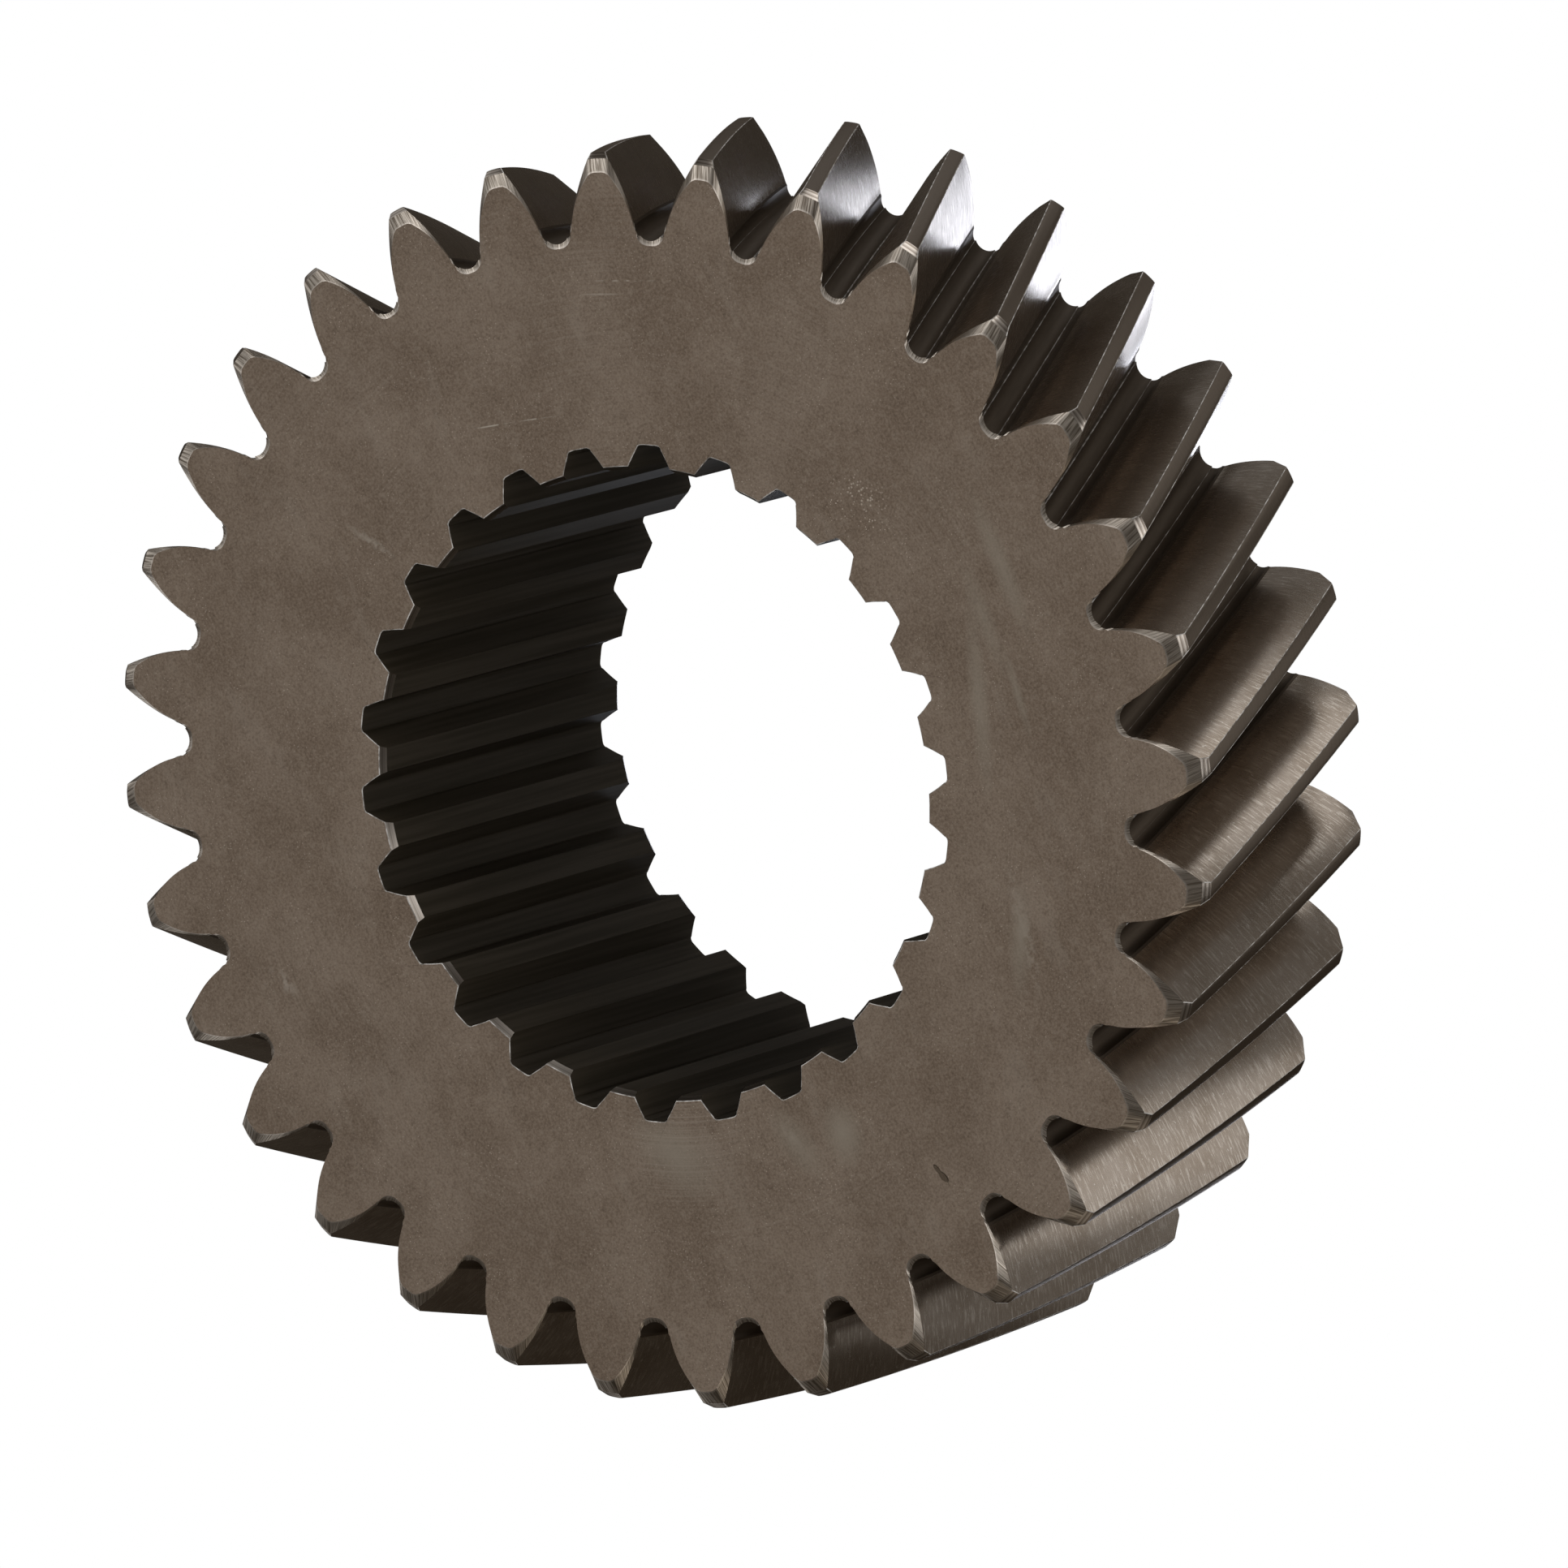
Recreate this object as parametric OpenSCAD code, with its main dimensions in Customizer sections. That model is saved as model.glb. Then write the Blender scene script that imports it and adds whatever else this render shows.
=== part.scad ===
// Helical transmission gear in one piece: a ring of left-hand helical involute teeth,
// a flat front face, a plain hub behind and an involute spline through the bore.
// The gear lies on the end of its hub with its front face up; Z is its axis.

/* [Teeth] */
// Number of outer teeth
tooth_count = 32; // [30:1:40]
// Module of the teeth in the plane square to a tooth
normal_module = 2.75; // [2.5:0.05:3.2]
// Lean of the teeth from the axis at the pitch circle, left hand
helix_angle = 22.3; // [0:0.1:30]
// Pressure angle in the plane square to a tooth
pressure_angle = 21; // [18:0.5:23]
// Height of a tooth above the pitch circle, in modules
addendum_factor = 1.25; // [0.9:0.01:1.3]
// Depth of a tooth below the pitch circle, in modules
dedendum_factor = 1.27; // [1.15:0.01:1.35]
// Thickness taken off each tooth at the pitch circle for backlash
tooth_thinning = 0.05; // [0:0.01:0.3]
// Radius of the fillet between a flank and the root
root_fillet = 1.1; // [0.6:0.05:1.2]
// Width of the toothed ring along the axis
face_w = 26.5; // [18:0.5:40]

/* [Tooth ends] */
// Width of the filed bevel below each root on the front face
file_drop = 0.45; // [0.1:0.05:0.5]
// Width of the filed bevel on either side of a tip on the front face
file_side = 0.55; // [0.1:0.05:0.7]
// How far the face outline drops at the corners of a tip
file_corner = 0.35; // [0:0.05:0.5]
// Depth of the filed bevel at the roots, along the axis
file_root = 0.15; // [0.1:0.05:0.4]
// Depth of the filed bevel at the tips, along the axis
file_tip = 0.6; // [0.2:0.05:0.8]
// Width of the filed band at the tips, along the radius
file_band = 1.05; // [0.5:0.05:1.2]
// Depth of the turned chamfer outside the filed band, along the axis
turned_depth = 0.6; // [0.2:0.05:1]
// Width of the turned chamfer, along the radius
turned_w = 0.45; // [0.2:0.05:0.8]
// Depth of the turned chamfer at the rear tips, along the axis
rear_depth = 0.95; // [0.3:0.05:1.5]
// Width of the turned chamfer at the rear tips, along the radius
rear_w = 1.1; // [0.3:0.05:1.5]

/* [Bore spline] */
// Number of grooves of the spline
groove_count = 26; // [22:1:30]
// Module of the spline
spline_module = 2; // [1.5:0.25:2.25]
// Pressure angle of the spline
spline_angle = 30; // [28:1:32]
// Radius of the corners at the bottom of a groove
groove_corner = 0.3; // [0.15:0.05:0.4]
// Width of the chamfer on the spline lands at both ends of the bore
bore_chamfer = 0.35; // [0.1:0.05:0.5]
// Depth of that chamfer, along the axis
bore_depth = 0.65; // [0.3:0.05:1]

/* [Hub] */
// Wall of the hub outside the spline grooves
hub_wall = 7.5; // [5:0.5:9]
// Length of the hub behind the toothed ring
hub_len = 10.9; // [4:0.1:16]
// Chamfer on the outer edge of the hub
hub_chamfer = 0.8; // [0.2:0.1:1.5]
// Radius of the inner corner between the hub and the rear face
hub_fillet = 1.5; // [0.5:0.1:2.5]

/* [Hidden] */
steel = [0.38, 0.33, 0.28];
round_fn = 120;
slices = 3;
flank_steps = 4;
fillet_steps = 3;
groove_steps = 3;
corner_steps = 2;
hub_steps = 3;
cut_extra = 1;
deg = 180 / PI;

pitch_angle = 360 / tooth_count;
transverse_module = normal_module / cos(helix_angle);
pitch_r = transverse_module * tooth_count / 2;
transverse_angle = atan(tan(pressure_angle) / cos(helix_angle));
base_r = pitch_r * cos(transverse_angle);
outside_r = pitch_r + addendum_factor * normal_module;
root_r = pitch_r - dedendum_factor * normal_module;
tooth_t = PI * transverse_module / 2 - tooth_thinning;
twist = face_w * tan(helix_angle) / pitch_r * deg;
total_len = hub_len + face_w;

spline_pitch_r = spline_module * groove_count / 2;
spline_base_r = spline_pitch_r * cos(spline_angle);
major_r = spline_pitch_r + 0.75 * spline_module;
minor_r = major_r - 1.05 * spline_module;
profile_shift = major_r - spline_pitch_r - 0.55 * spline_module;
groove_w = PI * spline_module / 2 + 2 * profile_shift * tan(spline_angle);
hub_r = major_r + hub_wall;

// Involute function of a pressure angle, in degrees
function inv(a) = tan(a) * deg - a;

// Pressure angle of an involute at radius r
function angle_at(base, r) = acos(min(1, base / r));

// Half of a tooth's angle at the base circle, and at radius r
base_half = tooth_t / (2 * pitch_r) * deg + inv(transverse_angle);
function half_at(r) = base_half - inv(angle_at(base_r, r));

// Half of a groove's angle at the base circle, and at radius r
groove_half = groove_w / (2 * spline_pitch_r) * deg + inv(spline_angle);
function groove_at(r) = groove_half - inv(angle_at(spline_base_r, r));

// Half of a tooth outline as [radius, angle from the tooth's middle, share of its height],
// root first. An arc tangent to flank and root circle leads into the involute flank.
function half_tooth(drop, side, tip_r, corner) =
    let (
        foot_r = root_r - drop,
        centre_r = max(foot_r + root_fillet, base_r),
        fillet = centre_r - foot_r,
        reach = sqrt(centre_r * centre_r - base_r * base_r),
        centre_a = half_at(centre_r) + fillet / base_r * deg,
        centre = centre_r * [cos(centre_a), sin(centre_a)],
        start_r = norm([base_r, reach + fillet]),
        start_a = half_at(start_r),
        to_flank = start_r * [cos(start_a), sin(start_a)] - centre,
        from_dir = centre_a + 180,
        to_dir = atan2(to_flank.y, to_flank.x) + 360,
        turn = side / base_r * deg
    )
    concat(
        [
            for (i = [0:fillet_steps - 1])
            let (
                a = from_dir + (to_dir - from_dir) * i / fillet_steps,
                p = centre + fillet * [cos(a), sin(a)]
            )
            [norm(p), atan2(p.y, p.x), 0]
        ],
        [
            for (i = [0:flank_steps])
            let (
                share = i / flank_steps,
                r = start_r + (tip_r - corner - start_r) * share
            )
            [r, half_at(r) - turn * pow(share, 3), share]
        ],
        [[tip_r, (half_at(tip_r) - turn) / 2, 1]]
    );

// Full ring outline, turned by the helix. A level holds the height at the roots, the extra
// depth at the tips, then the drop, side, tip radius and corner of its outline.
function ring(level) =
    let (
        half = half_tooth(level[2], level[3], level[4], level[5]),
        n = len(half)
    )
    [
        for (k = [0:tooth_count - 1])
        for (i = [0:2 * n - 1])
        let (
            p = i < n ? half[i] : half[2 * n - 1 - i],
            z = level[0] - level[1] * p[2],
            turned = twist * (total_len - z) / face_w,
            a = k * pitch_angle + turned + (i < n ? -p[1] : p[1])
        )
        [p[0] * cos(a), p[0] * sin(a), z]
    ];

// Toothed ring as one solid lofted through its outlines: rear end, body, then front end
module toothed_ring() {
    bevel_r = outside_r - turned_w;
    body_z = hub_len + rear_depth;
    body_h = face_w - rear_depth - file_tip - turned_depth;
    levels = concat(
        [[hub_len, 0, 0, 0, outside_r - rear_w, 0]],
        [for (i = [0:slices]) [body_z + body_h * i / slices, 0, 0, 0, outside_r, 0]],
        [
            [total_len - file_root, file_tip - file_root, 0, 0, bevel_r, 0],
            [total_len, 0, file_drop, file_side, bevel_r - file_band, file_corner]
        ]
    );
    rings = [for (level = levels) ring(level)];
    n = len(rings[0]);
    top = len(levels) - 1;
    points = [for (outline = rings) each outline];
    sides = [
        for (j = [0:top - 1])
        for (i = [0:n - 1])
        let (
            next = (i + 1) % n,
            a = j * n + i,
            b = j * n + next,
            c = (j + 1) * n + next,
            d = (j + 1) * n + i
        )
        each [[a, d, b], [d, c, b]]
    ];
    foot = len(points);
    caps = [
        for (i = [0:n - 1])
        let (next = (i + 1) % n)
        each [[foot, i, next], [foot + 1, top * n + next, top * n + i]]
    ];
    centres = [[0, 0, hub_len], [0, 0, total_len]];
    polyhedron(concat(points, centres), concat(caps, sides), convexity = 10);
}

// Plain hub behind the toothed ring, chamfered outside and filleted into the rear face
module hub_barrel() {
    fillet = min(hub_fillet, hub_len - hub_chamfer);
    arc = [
        for (i = [0:hub_steps])
        let (a = 90 * i / hub_steps)
        [hub_r + fillet * (1 - cos(a)), hub_len - fillet * (1 - sin(a))]
    ];
    rotate_extrude($fn = round_fn)
        polygon(concat(
            [[0, 0], [hub_r - hub_chamfer, 0], [hub_r, hub_chamfer]],
            arc,
            [[hub_r + fillet, hub_len + cut_extra], [0, hub_len + cut_extra]]
        ));
}

// Outline of one spline groove, open towards the axis, with rounded bottom corners
module groove_outline() {
    corner_r = major_r - groove_corner;
    flank = [
        for (i = [0:groove_steps])
        let (r = minor_r - bore_chamfer + (corner_r - minor_r + bore_chamfer) * i / groove_steps)
        [r, groove_at(r)]
    ];
    bottom_a = groove_at(major_r) - groove_corner / major_r * deg;
    corner = [
        for (i = [1:corner_steps])
        let (t = 90 * i / corner_steps)
        [
            corner_r + groove_corner * sin(t),
            groove_at(corner_r) + (bottom_a - groove_at(corner_r)) * (1 - cos(t))
        ]
    ];
    side = concat(flank, corner);
    n = len(side);
    polygon([
        for (i = [0:2 * n - 1])
        let (p = i < n ? [side[i][0], -side[i][1]] : side[2 * n - 1 - i])
        p[0] * [cos(p[1]), sin(p[1])]
    ]);
}

// Tool for the bore: round hole, all grooves, and a chamfer at both ends
module spline_tool() {
    translate([0, 0, -cut_extra])
        cylinder(r = minor_r, h = total_len + 2 * cut_extra, $fn = round_fn);
    translate([0, 0, -cut_extra])
        linear_extrude(height = total_len + 2 * cut_extra)
            for (k = [0:groove_count - 1])
                rotate([0, 0, k * 360 / groove_count])
                    groove_outline();
    translate([0, 0, total_len - bore_depth])
        cylinder(r1 = minor_r, r2 = minor_r + 2 * bore_chamfer, h = 2 * bore_depth, $fn = round_fn);
    translate([0, 0, -bore_depth])
        cylinder(r1 = minor_r + 2 * bore_chamfer, r2 = minor_r, h = 2 * bore_depth, $fn = round_fn);
}

module gear() {
    color(steel)
        difference() {
            union() {
                toothed_ring();
                hub_barrel();
            }
            spline_tool();
        }
}

gear();
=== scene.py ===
# One helical transmission gear on a pale studio table, seen from above at a slant.
# Sizes in the sections are millimetres and become metres as the mesh is laid out.
import math

import bmesh
import bpy
from mathutils import Matrix, Vector


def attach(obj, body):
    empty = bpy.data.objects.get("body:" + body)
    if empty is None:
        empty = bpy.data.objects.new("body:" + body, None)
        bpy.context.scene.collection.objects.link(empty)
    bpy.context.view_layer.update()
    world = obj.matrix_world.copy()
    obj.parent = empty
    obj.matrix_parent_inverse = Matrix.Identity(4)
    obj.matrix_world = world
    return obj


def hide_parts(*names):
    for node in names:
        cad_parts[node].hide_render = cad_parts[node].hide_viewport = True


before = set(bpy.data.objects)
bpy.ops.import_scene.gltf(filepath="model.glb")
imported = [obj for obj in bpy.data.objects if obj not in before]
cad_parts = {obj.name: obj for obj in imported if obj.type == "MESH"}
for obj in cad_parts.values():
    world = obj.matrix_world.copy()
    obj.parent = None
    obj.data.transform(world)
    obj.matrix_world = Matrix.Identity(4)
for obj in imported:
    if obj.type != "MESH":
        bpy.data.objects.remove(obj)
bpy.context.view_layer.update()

# Camera: a long lens from above and to one side, at the photograph's viewing angle. Its axes
# and its place were fitted to the outlines of the teeth and of the bore.
MM = 0.001
view = bpy.data.cameras.new("photo_view")
view.lens, view.sensor_width = 450.54, 36
view.clip_start, view.clip_end = 0.1, 50
camera = bpy.data.objects.new("photo_view", view)
right = Vector((-0.40841, -0.75793, -0.50867))
up = Vector((0.90834, -0.39246, -0.14452))
back = Vector((-0.09010, -0.52107, 0.84874))
place = Matrix((right, up, back)).transposed().to_4x4()
place.translation = Vector((-146.205, -828.726, 1368.760)) * MM
camera.matrix_world = place
bpy.context.scene.collection.objects.link(camera)
bpy.context.scene.camera = camera
bpy.context.scene.view_settings.view_transform = "Standard"

# Table and cove: a pale table that runs up into a white dome on all sides and glows evenly,
# as in a light tent. Steel would mirror it as a flat white, so reflections pass it by, and it
# lets the low lamps shine through, as a lit glass table does.
cove_r, gap = 5, 0.02 * MM
cove = bmesh.new()
bmesh.ops.create_uvsphere(cove, u_segments=48, v_segments=24, radius=cove_r)
bmesh.ops.bisect_plane(
    cove,
    geom=cove.verts[:] + cove.edges[:] + cove.faces[:],
    dist=1e-5,
    plane_co=(0, 0, 0),
    plane_no=(0, 0, -1),
    clear_outer=True,
)
bmesh.ops.holes_fill(cove, edges=[e for e in cove.edges if e.is_boundary], sides=0)
bmesh.ops.translate(cove, verts=cove.verts[:], vec=(0, 0, -gap))
cove_mesh = bpy.data.meshes.new("table")
cove.to_mesh(cove_mesh)
cove.free()
table = bpy.data.objects.new("table", cove_mesh)
table.visible_glossy = table.visible_shadow = False
bpy.context.scene.collection.objects.link(table)
pale = bpy.data.materials.new("pale_table")
pale.use_nodes = True
paint = pale.node_tree.nodes["Principled BSDF"]
paint.inputs["Base Color"].default_value = (0, 0, 0, 1)
paint.inputs["Specular IOR Level"].default_value = 0
paint.inputs["Emission Color"].default_value = (1, 1, 1, 1)
paint.inputs["Emission Strength"].default_value = 1.0
pale.cycles.emission_sampling = "NONE"
cove_mesh.materials.append(pale)

# Softboxes: round lamps about the middle of the gear, most of them low, at the level of the
# table or shining up through it. The glow is the brightness that the steel mirrors.
lamp_distance, lamp_centre = 1.2, Vector((0, 0, 0.02))
neutral, warm, cool = (1, 1, 1), (1, 0.89, 0.76), (0.83, 0.88, 1)
for azimuth, elevation, size, glow, tint in (
    (80, 60, 1.1, 0.3, neutral),
    (0, 88, 1, 0.12, neutral),
    (-20, 63, 0.6, 0.4, neutral),
    (0, 32, 0.62, 0.95, neutral),
    (30, 32, 0.62, 1.2, neutral),
    (-120, 32, 0.62, 1.4, neutral),
    (-30, 7, 0.58, 2.0, neutral),
    (-90, 7, 0.58, 1.9, neutral),
    (-30, -19, 0.58, 0.85, neutral),
    (-60, -19, 0.58, 0.12, neutral),
    (-90, -19, 0.58, 0.65, neutral),
    (-120, -19, 0.58, 0.16, neutral),
    (0, -45, 0.75, 0.15, neutral),
    (-60, -45, 0.75, 0.2, neutral),
    (-120, -45, 0.75, 0.2, neutral),
    (60, 7, 0.58, 0.6, neutral),
    (120, -4, 0.58, 0.6, neutral),
    (180, 7, 0.58, 0.25, warm),
    (180, 32, 0.62, 0.5, warm),
    (30, -19, 0.58, 0.5, neutral),
    (90, -19, 0.58, 0.8, neutral),
    (80, -64, 0.24, 2.2, cool),
    (100, -64, 0.24, 3.2, cool),
    (120, -64, 0.24, 2.4, cool),
    (87, -77, 0.18, 3.5, cool),
    (120, -76, 0.16, 4.2, cool),
):
    lamp = bpy.data.lights.new(f"softbox_{azimuth}_{elevation}", "AREA")
    lamp.shape, lamp.size = "DISK", size
    lamp.energy = glow * math.pi * math.pi * (size / 2) ** 2  # an even glow over the disk
    lamp.color = tint
    a, e = math.radians(azimuth), math.radians(elevation)
    aim = Vector((math.cos(a) * math.cos(e), math.sin(a) * math.cos(e), math.sin(e)))
    softbox = bpy.data.objects.new(lamp.name, lamp)
    place = aim.to_track_quat("Z", "Y").to_matrix().to_4x4()
    place.translation = aim * lamp_distance + lamp_centre
    softbox.matrix_world = place
    softbox.visible_camera = False
    bpy.context.scene.collection.objects.link(softbox)

# Studio walls: the room around the light tent, which reaches the steel from all sides as a
# dim and warm fill between the lamps.
sky = bpy.data.worlds.new("studio")
sky.use_nodes = True
sky.node_tree.nodes["Background"].inputs["Color"].default_value = (0.95, 0.79, 0.62, 1)
sky.node_tree.nodes["Background"].inputs["Strength"].default_value = 0.042
bpy.context.scene.world = sky

# Toothed ring: hardened steel, hobbed, then ground on the flanks. Left-hand involute teeth,
# with a shallow hobbed trough between two small ridges at each root. One outline is drawn
# from the middle of a gap to the middle of a tooth, mirrored and spun down the helix.
teeth, columns = 32, 52
length, width = 37.399, 26.499
module, lean, pressure = 2.75, math.radians(22.3), math.radians(21)
addendum, dedendum, thinning = 1.249, 1.27, 0.05
pitch_r = module / math.cos(lean) * teeth / 2
slope = math.atan(math.tan(pressure) / math.cos(lean))
base_r = pitch_r * math.cos(slope)
outside_r = pitch_r + addendum * module
root_r = pitch_r - dedendum * module
twist = width * math.tan(lean) / pitch_r
half_pitch = math.pi / teeth


def involute(base, r):
    a = math.acos(min(1, base / r))
    return math.tan(a) - a


half_base = (math.pi * pitch_r / teeth - thinning) / (2 * pitch_r) + involute(base_r, pitch_r)


def tooth_half(r):
    return half_base - involute(base_r, r)


root_fillet, root_share = 1.12, 0.12
trough_curve, trough_half, trough_deep, ridge_half = 1.306, 0.95, 0.08, 1.03


def tooth_line(drop, side, tip_r, corner, trough):
    """27 points (angle from the gap's middle, radius, share of the tooth's height) from the
    middle of a gap to the middle of a tooth. drop and side are how far a bevel cuts in at the
    root and at the tip of the flank, and corner is how far the tip's corner is rounded."""
    centre_r = root_r - drop + root_fillet
    centre_a = half_pitch - tooth_half(centre_r) - root_fillet / base_r
    start_r = math.hypot(base_r, math.sqrt(centre_r**2 - base_r**2) + root_fillet)
    start_a = half_pitch - tooth_half(start_r)
    x0, y0 = centre_r * math.sin(centre_a), centre_r * math.cos(centre_a)
    end = math.atan2(start_r * math.sin(start_a) - x0, y0 - start_r * math.cos(start_a))
    if trough:
        sweep = math.asin(trough_half / trough_curve)
        low = root_r - trough_deep + trough_curve
        curve = [sweep * i / 5 for i in range(6)]
        line = [(trough_curve * math.sin(t), low - trough_curve * math.cos(t)) for t in curve]
        first, steps = math.asin((ridge_half - x0) / root_fillet), 7
    else:
        line, first, steps = [(0, root_r - drop)], 0, 12
    for i in range(steps):
        a = first + (end - first) * i / steps
        line.append((x0 + root_fillet * math.sin(a), y0 - root_fillet * math.cos(a)))
    line = [(math.atan2(x, y), math.hypot(x, y), 0) for x, y in line]
    for i in range(10):
        s = i / 9
        r = start_r + (tip_r - corner - start_r) * s
        cut = side * (root_share + (1 - root_share) * s**3)
        line.append((half_pitch - tooth_half(r) + cut / base_r, r, s))
    last = line[-1][0]
    for i, s in enumerate((0.1, 0.4, 0.7, 1)):
        line.append((last + (half_pitch - last) * s, tip_r - corner * (1 - s) ** 4, 1))
    return line


def tooth_row(front, deeper=0, drop=0, side=0, tip_r=outside_r, corner=0.05, trough=True):
    """The whole ring's outline as (radius, angle, height): the roots at the height front, and
    the tips lower by deeper."""
    half = tooth_line(drop, side, tip_r, corner, trough)
    pitch = half + [(2 * half_pitch - a, r, s) for a, r, s in half[-2:0:-1]]
    row = []
    for tooth in range(teeth):
        for a, r, s in pitch:
            z = front - deeper * s
            row.append((r, (2 * tooth - 1) * half_pitch + a + twist * (length - z) / width, z))
    return row


gear = bmesh.new()
column = gear.verts.layers.int.new("column")
level = gear.verts.layers.int.new("level")
bmesh.ops.create_circle(gear, segments=teeth * columns, radius=1)
for n, v in enumerate(gear.verts):
    v[column] = n
parts = ["front"]


def lay(verts, row):
    for v in verts:
        r, a, z = row[v[column]]
        v.co = Vector((r * math.cos(a), r * math.sin(a), z)) * MM
        v[level] = len(parts) - 1


def grow(rim, row, part):
    """Extrude the open rim to the next outline, whose faces belong to the named part."""
    made = bmesh.ops.extrude_edge_only(gear, edges=rim)["geom"]
    parts.append(part)
    lay([x for x in made if isinstance(x, bmesh.types.BMVert)], row)
    return [x for x in made if isinstance(x, bmesh.types.BMEdge) and x.is_boundary]


# Filed front ends: the face's outline first, then the bevel that the file left, narrow at
# the roots and wide at the tips, and the chamfer that was turned before the teeth were cut.
file_drop, file_side, face_tip_r, file_corner = 0.45, 0.55, 49.45, 0.35
file_root, file_deeper, turned_band = 0.15, 0.45, 0.47
front_chamfer, rear_chamfer, rear_band, turns = 1.2, 0.95, 1.1, 13
front_outline = tooth_row(length, 0, file_drop, file_side, face_tip_r, file_corner, False)
filed_outline = tooth_row(length - file_root, file_deeper, tip_r=outside_r - turned_band)
lay(gear.verts, front_outline)
rim = grow(gear.edges[:], filed_outline, "filed")
rim = grow(rim, tooth_row(length - front_chamfer), "front_end")
body = width - front_chamfer - rear_chamfer
swept = bmesh.ops.spin(
    gear,
    geom=rim,
    cent=(0, 0, 0),
    axis=(0, 0, 1),
    dvec=(0, 0, -body / turns * MM),
    angle=twist * body / width,
    steps=turns,
)
parts.append("tooth")
rim = [x for x in swept["geom_last"] if isinstance(x, bmesh.types.BMEdge)]
rear = length - width
rear_outline = tooth_row(rear, side=0.08, tip_r=outside_r - rear_band, corner=0.3)
for v in gear.verts:
    if v.co.z < (length - front_chamfer - 0.1) * MM:
        v[level] = len(parts) - 1
rim = grow(rim, rear_outline, "tooth")

# Rear face and hub: plain turned steel, a short barrel behind the teeth with a rounded inner
# corner and a chamfered end on which the gear rests.
hub_r, hub_round, hub_chamfer = 35.0, 1.5, 0.8
minor_r, major_r, land_cut, land_depth = 25.4, 27.5, 0.35, 0.65
grooves, spline_r, groove_round = 26, 26.0, 0.3
groove_columns = teeth * columns // grooves
spline_angle = math.radians(30)
spline_base = spline_r * math.cos(spline_angle)
groove_pitch = 2 * math.pi / grooves
groove_w = math.pi + 0.8 * math.tan(spline_angle)
groove_base = groove_w / (2 * spline_r) + involute(spline_base, spline_r)


def groove_row(z, land_r, wider=0):
    """The bore's outline, from the middle of a land; wider moves it into the steel."""
    deep_r, corner_r = major_r + wider, major_r + wider - groove_round
    half = groove_pitch / 2 - groove_base - wider / spline_r
    edge = half + involute(spline_base, land_r)
    line = [(edge * i / 7, land_r) for i in range(8)]
    for i in range(1, 13):
        r = land_r + (corner_r - land_r) * i / 12
        line.append((half + involute(spline_base, r), r))
    low, deep = line[-1][0], half + involute(spline_base, deep_r) + groove_round / deep_r
    for t in (math.radians(15 * i) for i in range(1, 7)):
        line.append((low + (deep - low) * (1 - math.cos(t)), corner_r + groove_round * math.sin(t)))
    line += [(deep + (groove_pitch / 2 - deep) * i / 7, deep_r) for i in range(1, 8)]
    pitch = line + [(groove_pitch - a, r) for a, r in line[-2:0:-1]]
    return [(r, (g + 0.5) * groove_pitch + a, z) for g in range(grooves) for a, r in pitch]


def circle_row(r, z, start, end, share):
    """A circle whose points lie between those of two outlines."""
    return [(r, p[1] + (q[1] - p[1]) * share, z) for p, q in zip(start, end)]


bore_rear = groove_row(0, minor_r + land_cut)
web_r = 42.5
profile = [(web_r, rear, 0.1), (hub_r + hub_round, rear, 0.5)]
for i in range(1, 5):
    a = math.radians(22.5 * i)
    out, back_off = hub_round * (1 - math.sin(a)), hub_round * (1 - math.cos(a))
    profile.append((hub_r + out, rear - back_off, 0.5 + 0.05 * i))
profile += [(hub_r, hub_chamfer, 0.75), (hub_r - hub_chamfer, 0, 0.8)]
for r, z, share in profile:
    rim = grow(rim, circle_row(r, z, rear_outline, bore_rear, share), "turned")
rim = grow(rim, bore_rear, "turned")

# Bore: an involute spline of 26 grooves, broached through, its lands chamfered at both ends.
# The broach left a fine burr round the front mouth, which was rubbed off to a bright line, partly
# painted highlight.
rim = grow(rim, groove_row(land_depth, minor_r), "mouth")
rim = grow(rim, groove_row(length - land_depth, minor_r), "bore")
burr_deep, burr_in, burr_out, burr_w = 0.05, 0.02, 0.05, 0.07
rim = grow(rim, groove_row(length - burr_deep, minor_r + land_cut - burr_in), "mouth")
bore_front = groove_row(length, minor_r + land_cut + burr_out, burr_w)
rim = grow(rim, bore_front, "rim")
for r, share in ((30, 0.2), (36, 0.55), (web_r, 1)):
    rim = grow(rim, circle_row(r, length, bore_front, front_outline, share), "face")
rim = grow(rim, front_outline, "face")

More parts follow.
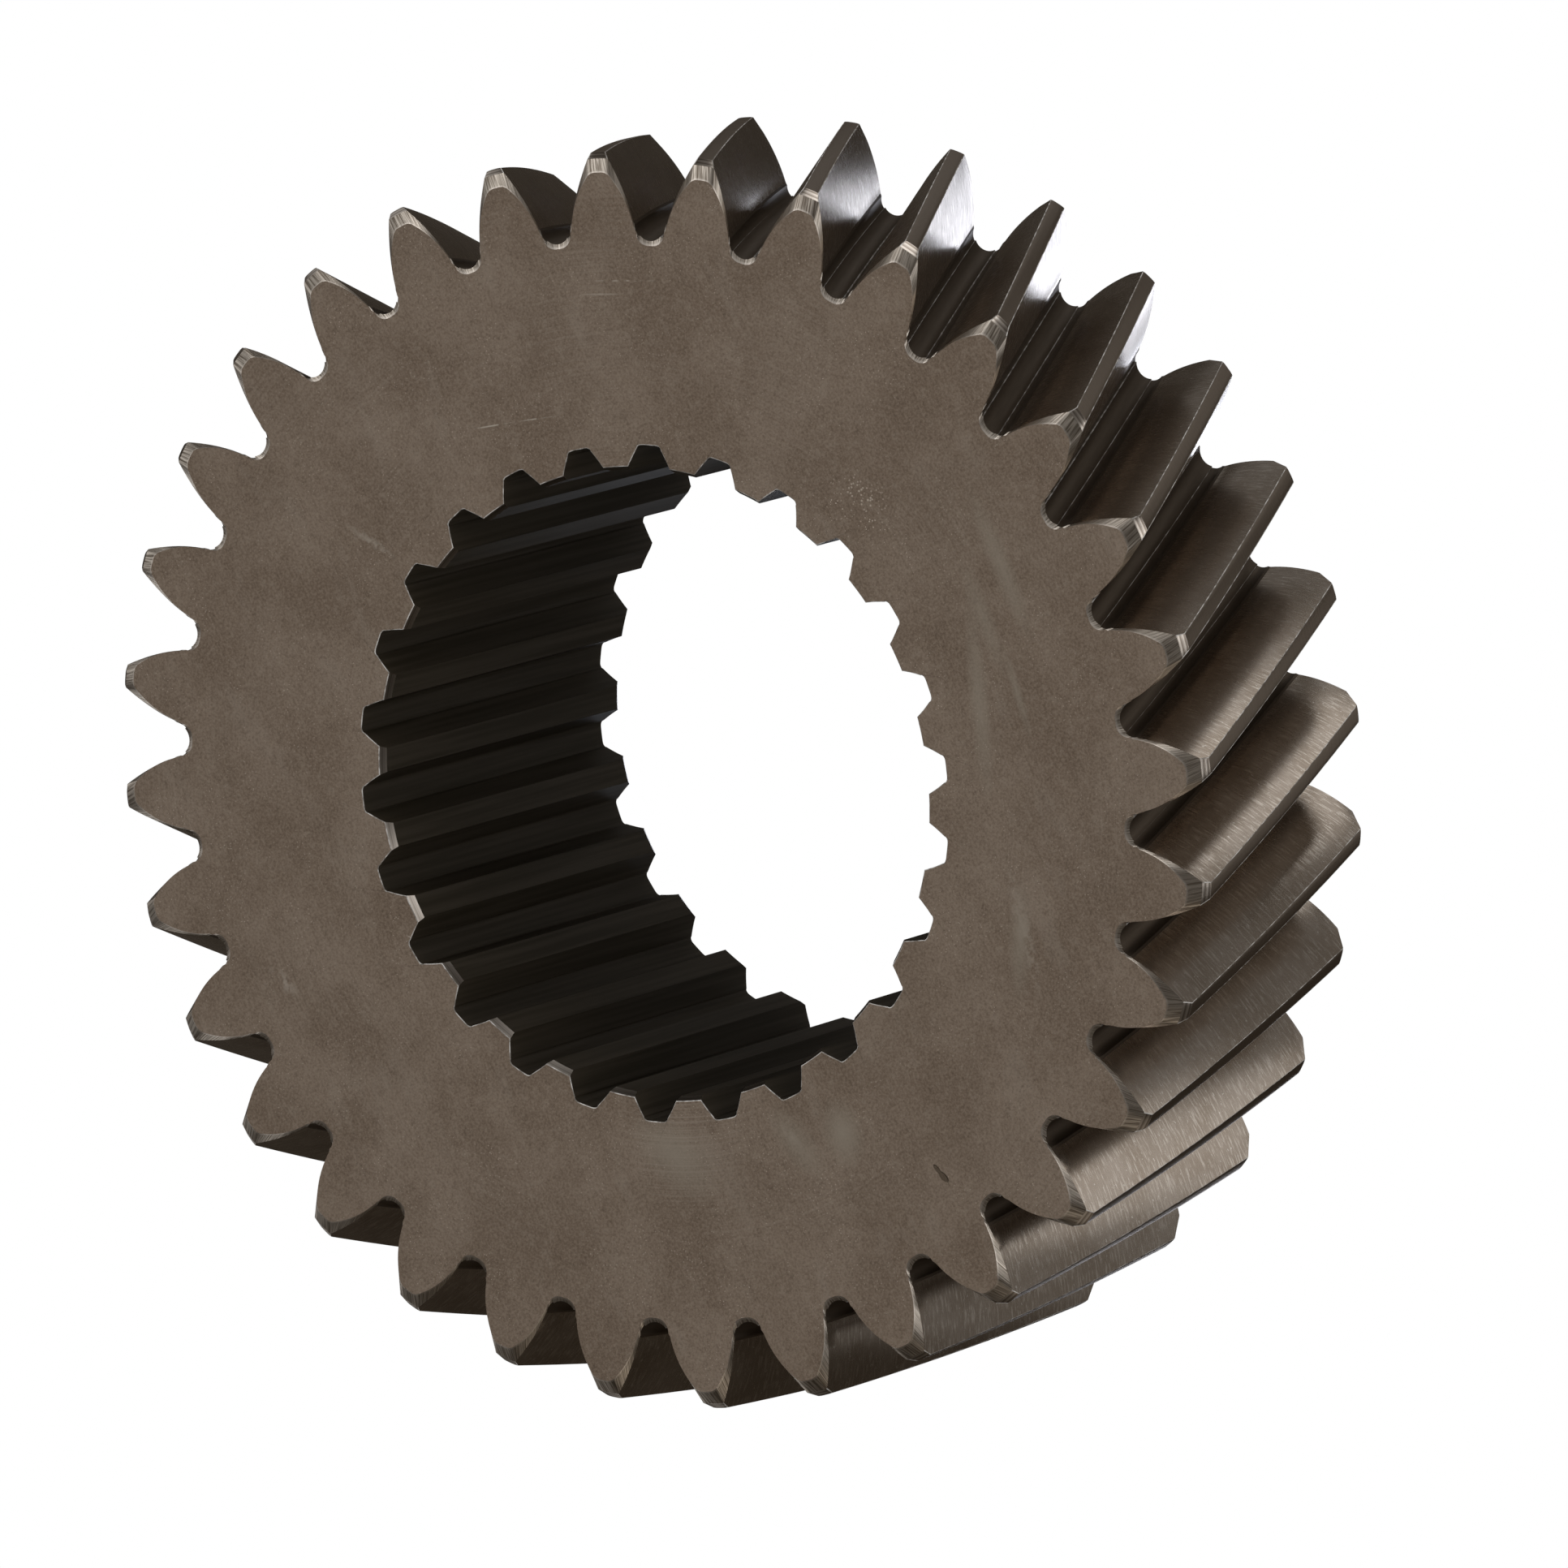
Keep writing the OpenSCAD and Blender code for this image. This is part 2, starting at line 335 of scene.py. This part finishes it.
# Each face gets the finish of its place, and a map that runs along the lead and up the
# profile, so that grinding lines and file strokes follow the surface.
finishes = ["face", "flank", "root", "land", "filed", "turned", "bore", "edge"]
ridge_column, flank_column, land_column, half_land = 5, 13, 22, 7
grain_unit, tooth_shift, flank_shift, crease = 0.01, 0.37, 170, math.radians(16)
outline = tooth_line(0, 0, outside_r, 0.05, True)
steps = [math.dist((r * a, r), (q * b, q)) for (a, r, _), (b, q, _) in zip(outline, outline[1:])]
climb = [sum(steps[:i]) for i in range(len(steps) + 1)]
grain = gear.loops.layers.uv.new("grain")
for f in gear.faces:
    f.smooth = True
    part = parts[max(v[level] for v in f.verts)]
    cols = [v[column] for v in f.verts]
    low, high = min(cols), max(cols)
    wraps = high - low > 1
    low = high if wraps else low
    tooth, inside = divmod(low, columns)
    near = min(inside, columns - 1 - inside)
    finish = {"rim": "edge", "mouth": "bore"}.get(part, part)
    if part in ("tooth", "front_end"):
        finish = "root" if near < flank_column else "flank" if near < land_column else "land"
        if near in (ridge_column, land_column):
            finish = "edge"
        if part == "front_end" and near > land_column:
            finish = "turned"
    elif part == "mouth":
        beside = low % groove_columns
        on_land = min(beside, groove_columns - 1 - beside) < half_land
        finish = "turned" if on_land else "bore"
    f.material_index = finishes.index(finish)
    for loop in f.loops:
        c = columns if wraps and loop.vert[column] == 0 else loop.vert[column] - tooth * columns
        down = (length - loop.vert.co.z / MM) / math.cos(lean)
        rise = climb[min(c, columns - c)]
        second_side = inside > columns / 2 - 1
        if part == "filed":
            u, v = (rise if second_side else -rise), down
        else:
            u, v = down, rise + (flank_shift if second_side else 0)
        loop[grain].uv = (u * grain_unit + tooth * tooth_shift, v * grain_unit)

bmesh.ops.remove_doubles(gear, verts=gear.verts, dist=1e-7)
bmesh.ops.recalc_face_normals(gear, faces=gear.faces)
for e in gear.edges:
    e.smooth = e.calc_face_angle(0) < crease
gear_mesh = bpy.data.meshes.new("gear_steel")
gear.to_mesh(gear_mesh)
gear.free()
gear_steel = bpy.data.objects.new("gear_steel", gear_mesh)
bpy.context.scene.collection.objects.link(gear_steel)
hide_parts("gear")
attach(gear_steel, "root")


# Finishes: Amount stands for a number that varies over the steel, so that sums can be written
# out, and Finish is one treatment of the steel.
class Amount:
    def __init__(self, finish, socket):
        self.finish, self.socket = finish, socket

    def sum(self, operation, *terms):
        return self.finish.node("ShaderNodeMath", {"operation": operation}, dict(enumerate(terms)))

    def __add__(self, other):
        return self.sum("ADD", self, other)

    def __sub__(self, other):
        return self.sum("SUBTRACT", self, other)

    def __rsub__(self, other):
        return self.sum("SUBTRACT", other, self)

    def __mul__(self, other):
        return self.sum("MULTIPLY", self, other)

    def __pow__(self, other):
        return self.sum("POWER", self, other)

    def __gt__(self, other):
        return self.sum("GREATER_THAN", self, other)

    def __lt__(self, other):
        return self.sum("LESS_THAN", self, other)

    __radd__ = __add__
    __rmul__ = __mul__


class Finish:
    def __init__(self, name, metallic, roughness, specular=0.5):
        self.material = bpy.data.materials.new(name)
        self.material.use_nodes = True
        self.tree = self.material.node_tree
        self.surface = self.tree.nodes["Principled BSDF"]
        self.surface.inputs["Metallic"].default_value = metallic
        self.surface.inputs["Roughness"].default_value = roughness
        self.surface.inputs["Specular IOR Level"].default_value = specular
        gear_mesh.materials.append(self.material)

    def node(self, kind, settings=None, values=None, out=0):
        node = self.tree.nodes.new(kind)
        for name, value in (settings or {}).items():
            setattr(node, name, value)
        for name, value in (values or {}).items():
            self.put(node.inputs[name], value)
        return Amount(self, node.outputs[out])

    def put(self, socket, value):
        if isinstance(value, Amount):
            self.tree.links.new(value.socket, socket)
        else:
            socket.default_value = value

    def set(self, name, value):
        self.put(self.surface.inputs[name], value)

    def steel(self, turn=0, stretch=1):
        """Object coordinates in millimetres, turned about the axis and drawn out along x."""
        where = self.node("ShaderNodeTexCoord", out="Object")
        turn_it = {"Vector": where, "Rotation": (0, 0, turn), "Scale": (1000 / stretch, 1000, 1000)}
        return self.node("ShaderNodeMapping", values=turn_it)

    def surface_map(self):
        """The grain map in millimetres: along the lead, then up the profile."""
        along, rise, _ = self.split(self.node("ShaderNodeUVMap", {"uv_map": "grain"}))
        return along * (1 / grain_unit), rise * (1 / grain_unit)

    def split(self, vector):
        parts = self.node("ShaderNodeSeparateXYZ", values={"Vector": vector}).socket.node.outputs
        return [Amount(self, part) for part in parts]

    def join(self, x, y, z=0.0):
        return self.node("ShaderNodeCombineXYZ", values={"X": x, "Y": y, "Z": z})

    def noise(self, vector, scale, detail=2, rough=0.5):
        values = {"Vector": vector, "Scale": scale, "Detail": detail, "Roughness": rough}
        return self.node("ShaderNodeTexNoise", values=values)

    def ramp(self, value, low, high, to_low=0, to_high=1):
        values = {"Value": value, "From Min": low, "From Max": high}
        values.update({"To Min": to_low, "To Max": to_high})
        return self.node("ShaderNodeMapRange", {"interpolation_type": "SMOOTHSTEP"}, values)

    def mix(self, factor, a, b):
        a, b = [c if isinstance(c, Amount) else (*c, 1) for c in (a, b)]
        values = {"Factor": factor, 6: a, 7: b}
        return self.node("ShaderNodeMix", {"data_type": "RGBA"}, values, out=2)

    def bump(self, height, depth):
        values = {"Distance": depth * MM, "Height": height}
        self.set("Normal", self.node("ShaderNodeBump", values=values))


# Front face: flat turned and hardened steel under a thin grey-brown skin, clouded where it
# was handled, with fine lathe rings, painted glints (bright pinprick highlights) and a few long
# scratches.
face = Finish("steel_face", 1.0, 0.42)
spot = face.steel()
x, y, _ = face.split(spot)
radius = (x * x + y * y) ** 0.5
cloud = face.noise(spot, 0.13, 3, 0.62)
smear = face.noise(face.steel(1.2, 3), 0.3, 3, 0.6)
grit = face.noise(spot, 4.6, 3, 0.8)
skin = face.mix(face.ramp(cloud, 0.36, 0.66), (0.342, 0.261, 0.197), (0.412, 0.323, 0.252))
skin = face.mix(face.ramp(smear, 0.56, 0.74) * 0.6, skin, (0.50, 0.415, 0.34))
mottle = face.noise(spot, 1.3, 3, 0.75)
skin = face.mix(face.ramp(mottle, 0.5, 0.7) * 0.6, skin, (0.5, 0.41, 0.33))
skin = face.mix(face.ramp(mottle, 0.48, 0.3) * 0.5, skin, (0.25, 0.19, 0.142))
skin = face.mix(face.ramp(grit, 0.42, 0.64) * 0.6, skin, (0.56, 0.45, 0.355))
skin = face.mix(face.ramp(grit, 0.46, 0.32) * 0.5, skin, (0.21, 0.16, 0.12))
ring = face.noise(face.join(radius, 0.0), 4.2, 2, 0.7)
turned_here = face.ramp(face.noise(spot, 0.12, 2, 0.5), 0.5, 0.62)
dot = face.node("ShaderNodeTexVoronoi", values={"Vector": spot, "Scale": 3.2})


def stroke(x0, y0, x1, y1, wide):
    """1 in the middle of a straight, tapering mark between two points of the face, 0 off it."""
    mid, turn = ((x0 + x1) / 2, (y0 + y1) / 2, 0), math.atan2(y1 - y0, x1 - x0)
    size = (math.dist((x0, y0), (x1, y1)) / 2, wide, 1e6)
    placed = {"Vector": spot, "Location": mid, "Rotation": (0, 0, turn), "Scale": size}
    inside = face.node("ShaderNodeMapping", {"vector_type": "TEXTURE"}, placed)
    ball = {"gradient_type": "SPHERICAL"}
    return face.node("ShaderNodeTexGradient", ball, {"Vector": inside}, out=1)


# Painted glints: bright specks painted into the colour, denser and larger in one patch.
glint_patch = stroke(16.5, -26, 9, -32, 2.8)
glint = (dot < glint_patch * 0.22 + 0.12) * (face.ramp(face.noise(spot, 0.25, 2), 0.42, 0.6) + glint_patch)
skin = face.mix(glint * 0.8, skin, (1.0, 0.9, 0.78))
worn = turned_here * 0.6 + stroke(-25, 18, -28, 5, 7) * 2.5
worn = worn + stroke(24, -3, 26, -14, 4) + stroke(38, -3, 33, -17, 9) * 0.9
skin = face.mix(face.ramp(ring, 0.42, 0.64) * worn * 0.42, skin, (0.58, 0.485, 0.40))
broken = face.ramp(face.noise(spot, 1.4, 2), 0.4, 0.55)
for line, wide, strength in (
    ((32.36, 2.27, 30.98, -2.64), 0.05, 0.8),
    ((31.05, -2.4, 29.83, -6.35), 0.05, 0.7),
    ((38.5, -13.64, 35.55, -20.23), 0.07, 0.45),
    ((37.9, -12.3, 35.9, -16.8), 0.05, 0.35),
    ((30.34, 16.49, 25.69, 13.32), 0.3, 0.3),
    ((-18.46, -27.35, -30.17, -24.87), 0.5, 0.22),
    ((-28.75, 2.02, -31.97, 1.18), 0.3, 0.25),
    ((1.33, 40.69, -2.25, 39.1), 0.5, 0.3),
    ((-1.63, 27.3, -2.35, 26.63), 0.05, 0.6),
):
    skin = face.mix(stroke(*line, wide * 1.6) * broken * strength * 2, skin, (0.8, 0.72, 0.62))
for line, wide, strength in (
    ((10.06, -38.43, -4.53, -37.76), 0.9, 0.3),
    ((5.14, -35.11, -5.79, -34.14), 0.8, 0.25),
    ((2.5, -34.6, -14.5, -27.7), 0.8, 0.3),
    ((-2.8, -35.3, -11, -34), 0.4, 0.3),
    ((-20, -28.1, -29.5, -22.7), 0.9, 0.3),
    ((-29, -3.5, -35, -2.4), 1.6, 0.4),
    ((-27.2, 2.4, -34.8, 0.4), 1.3, 0.3),
    ((-23, 14.5, -32, 10.2), 2.2, 0.35),
):
    skin = face.mix(stroke(*line, wide * 1.3) * strength * 2.3, skin, (0.56, 0.49, 0.4))
pit = stroke(-37.5, -9.5, -38.5, -9.8, 0.2) + stroke(-38.2, -9.7, -39.4, -10.1, 0.3)
skin = face.mix(face.ramp(pit, 0, 0.3) * 0.7, skin, (0.12, 0.09, 0.06))
face.set("Base Color", skin)
face.set("Roughness", face.ramp(cloud, 0.3, 0.7, 0.46, 0.38))
face.bump(grit * 0.4 + ring * turned_here * 0.5 - face.ramp(pit, 0, 0.3) * 4, 0.01)

# Flanks: ground up the profile after hardening, so the fine lines run from root to tip; the
# cleanest steel on the gear, satin, with a few painted glints as near-white specks.
flank = Finish("steel_flank", 1.0, 0.26)
along, rise = flank.surface_map()
lines = flank.noise(flank.join(along, rise * 0.09), 6, 3, 0.7)
glint_specks = flank.noise(flank.join(along, rise * 0.4), 5, 2, 0.6)
dull = flank.noise(flank.join(along, rise), 0.25, 3, 0.5)
tone_and_glints = flank.mix(flank.ramp(dull, 0.35, 0.65), (0.41, 0.34, 0.275), (0.48, 0.41, 0.345))
tone_and_glints = flank.mix(flank.ramp(lines, 0.5, 0.64) * 0.75, tone_and_glints, (0.74, 0.67, 0.59))
# Painted glints: near-white specks painted into the colour.
tone_and_glints = flank.mix((glint_specks > 0.68) * 0.6, tone_and_glints, (1.0, 0.95, 0.88))
flank.set("Base Color", tone_and_glints)
flank.set("Roughness", flank.ramp(lines, 0.3, 0.7, 0.28, 0.22))
flank.bump(lines, 0.0017)

# Roots: left as hobbed, because the grinding wheel doesn't reach them. The trough kept the
# darker skin of the hardening oil, with faint feed marks along it.
root = Finish("steel_root", 1.0, 0.5)
along, rise = root.surface_map()
feed = root.noise(root.join(along * 0.1, rise), 3, 2)
root.set("Base Color", root.mix(feed, (0.118, 0.092, 0.068), (0.175, 0.14, 0.108)))
root.bump(feed, 0.004)

# Tip lands: what is left of the blank's turned outside. It was turned before the teeth were
# cut, so the lathe lines cross each land.
land = Finish("steel_land", 1.0, 0.33)
_, _, z = land.split(land.steel())
lathe = land.noise(land.join(z, 0.0), 6, 2, 0.6)
land.set("Base Color", land.mix(lathe, (0.29, 0.235, 0.185), (0.46, 0.385, 0.315)))
land.bump(lathe, 0.015)

# Filed ends: the bevel round each tooth, filed after hobbing. The strokes cross it, and along
# its edge with the face runs a bright line, partly a rubbed burr and partly painted highlight.
filed = Finish("steel_filed", 1.0, 0.33)
around, down = filed.surface_map()
strokes = filed.noise(filed.join(around + down * 0.2, down * 0.05), 6, 3, 0.7)
hatch = filed.mix(filed.ramp(strokes, 0.4, 0.6), (0.23, 0.19, 0.15), (0.72, 0.65, 0.57))
# Bright line along the edge with the face: partly rubbed burr, partly painted highlight.
filed.set("Base Color", filed.mix(filed.ramp(down, 0.1, 0.03) * 0.55, hatch, (0.9, 0.82, 0.74)))
filed.set("Roughness", filed.ramp(strokes, 0.3, 0.7, 0.42, 0.28))
filed.bump(strokes, 0.01)

# Turned parts: the hub, the rear face and the outer chamfers, cut on the lathe from the same
# blank and left with plain lathe rings.
turned = Finish("steel_turned", 1.0, 0.3)
x, y, z = turned.split(turned.steel())
turning = turned.noise(turned.join((x * x + y * y) ** 0.5 - z, 0.0), 4, 2, 0.6)
crest = turned.ramp(turning, 0.42, 0.58)
turned.set("Base Color", turned.mix(crest, (0.3, 0.255, 0.215), (0.62, 0.56, 0.5)))
turned.bump(turning, 0.012)

# Bore: blackened by the hardening oil, so that it hardly shines as metal; faint streaks from
# the broach follow the grooves.
bore = Finish("steel_bore", 0.0, 0.55, 0.12)
x, y, z = bore.split(bore.steel())
streak = bore.noise(bore.join(x, y, z * 0.02), 2.5, 2)
streak = bore.ramp(streak, 0.3, 0.7)
bore.set("Base Color", bore.mix(streak, (0.0175, 0.0133, 0.0076), (0.0265, 0.0205, 0.0135)))

# Edges: the ridges at the roots, the rims of the lands and the burr round the bore's mouth,
# lighter in colour, partly where handling has rubbed the dark skin off and partly as painted
# highlight.
bright = Finish("steel_edge", 0.45, 0.45)
# Lighter patches along the edges: partly rubbed steel, partly painted highlight.
rubbed_highlight = bright.ramp(bright.noise(bright.steel(), 1.3, 3, 0.6), 0.38, 0.66)
bright.set("Base Color", bright.mix(rubbed_highlight, (0.17, 0.15, 0.13), (0.52, 0.5, 0.475)))
